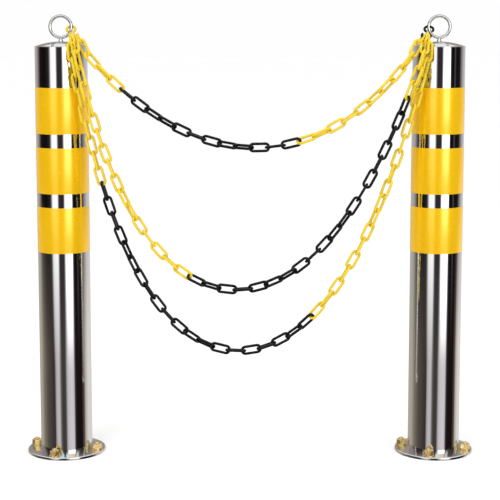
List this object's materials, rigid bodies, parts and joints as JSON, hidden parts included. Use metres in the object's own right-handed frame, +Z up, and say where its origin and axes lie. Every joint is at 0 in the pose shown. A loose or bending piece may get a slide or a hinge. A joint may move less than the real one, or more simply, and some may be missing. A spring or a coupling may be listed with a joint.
{
  "type": "chain post set",
  "caption": "Steel tube posts with bolted round bases, domed tops, ring eyes and reflective bands, joined by swags of two-colour plastic chain on S-hooks.",
  "frame": {"origin": "on the floor, midway between the two posts", "axes": "+X along the chain from the left post to the right post, -Y towards the front, +Z up"},
  "size_m": [0.994, 0.172, 0.97],
  "materials": {
    "polished_steel": "mirror-polished stainless steel",
    "reflective_yellow": "glossy yellow film with a warm gradient",
    "zinc_anchor": "yellow passivated zinc on steel",
    "chain_yellow": "moulded plastic, light gloss",
    "chain_black": "moulded plastic, light gloss"
  },
  "bodies": {
    "root": {"left_base_flange": "polished_steel", "left_tube": "polished_steel", "left_domed_cap": "polished_steel", "left_ring_eye": "polished_steel", "left_lower_band": "reflective_yellow", "left_middle_band": "reflective_yellow", "left_upper_band": "reflective_yellow", "left_left_anchor_stud": "zinc_anchor", "left_left_anchor_washer": "zinc_anchor", "left_left_anchor_nut": "zinc_anchor", "left_front_anchor_stud": "zinc_anchor", "left_front_anchor_washer": "zinc_anchor", "left_front_anchor_nut": "zinc_anchor", "left_right_anchor_stud": "zinc_anchor", "left_right_anchor_washer": "zinc_anchor", "left_right_anchor_nut": "zinc_anchor", "left_back_anchor_stud": "zinc_anchor", "left_back_anchor_washer": "zinc_anchor", "left_back_anchor_nut": "zinc_anchor", "right_base_flange": "polished_steel", "right_tube": "polished_steel", "right_domed_cap": "polished_steel", "right_ring_eye": "polished_steel", "right_lower_band": "reflective_yellow", "right_middle_band": "reflective_yellow", "right_upper_band": "reflective_yellow", "right_left_anchor_stud": "zinc_anchor", "right_left_anchor_washer": "zinc_anchor", "right_left_anchor_nut": "zinc_anchor", "right_front_anchor_stud": "zinc_anchor", "right_front_anchor_washer": "zinc_anchor", "right_front_anchor_nut": "zinc_anchor", "right_right_anchor_stud": "zinc_anchor", "right_right_anchor_washer": "zinc_anchor", "right_right_anchor_nut": "zinc_anchor", "right_back_anchor_stud": "zinc_anchor", "right_back_anchor_washer": "zinc_anchor", "right_back_anchor_nut": "zinc_anchor"},
    "left_hook": {"left_s_hook": "chain_yellow"},
    "right_hook": {"right_s_hook": "chain_black"},
    "upper_strand": {"upper_strand_left_yellow": "chain_yellow", "upper_strand_black": "chain_black", "upper_strand_right_yellow": "chain_yellow"},
    "middle_strand": {"middle_strand_left_yellow": "chain_yellow", "middle_strand_black": "chain_black", "middle_strand_right_yellow": "chain_yellow"},
    "lower_strand": {"lower_strand_left_yellow": "chain_yellow", "lower_strand_black": "chain_black", "lower_strand_right_yellow": "chain_yellow"}
  },
  "joints": [
    {"name": "left_hook_swing", "type": "hinge", "parent": "root", "child": "left_hook", "pos_m": [0, 0, 0.93865], "axis": [-1, 0, 0], "range_deg": [0, 45]},
    {"name": "right_hook_swing", "type": "hinge", "parent": "root", "child": "right_hook", "pos_m": [0, 0, 0.93865], "axis": [-1, 0, 0], "range_deg": [0, 45]},
    {"name": "upper_strand_swing", "type": "hinge", "parent": "left_hook", "child": "upper_strand", "pos_m": [0, -0.02365, 0.9188], "axis": [-1, 0, 0], "range_deg": [0, 35]},
    {"name": "middle_strand_swing", "type": "hinge", "parent": "left_hook", "child": "middle_strand", "pos_m": [0, -0.02365, 0.9188], "axis": [-1, 0, 0], "range_deg": [0, 35]},
    {"name": "lower_strand_swing", "type": "hinge", "parent": "left_hook", "child": "lower_strand", "pos_m": [0, -0.02365, 0.9188], "axis": [-1, 0, 0], "range_deg": [0, 35]}
  ],
  "couplings": [
    {"joint": "right_hook_swing", "follows": "left_hook_swing", "ratio": 1}
  ]
}
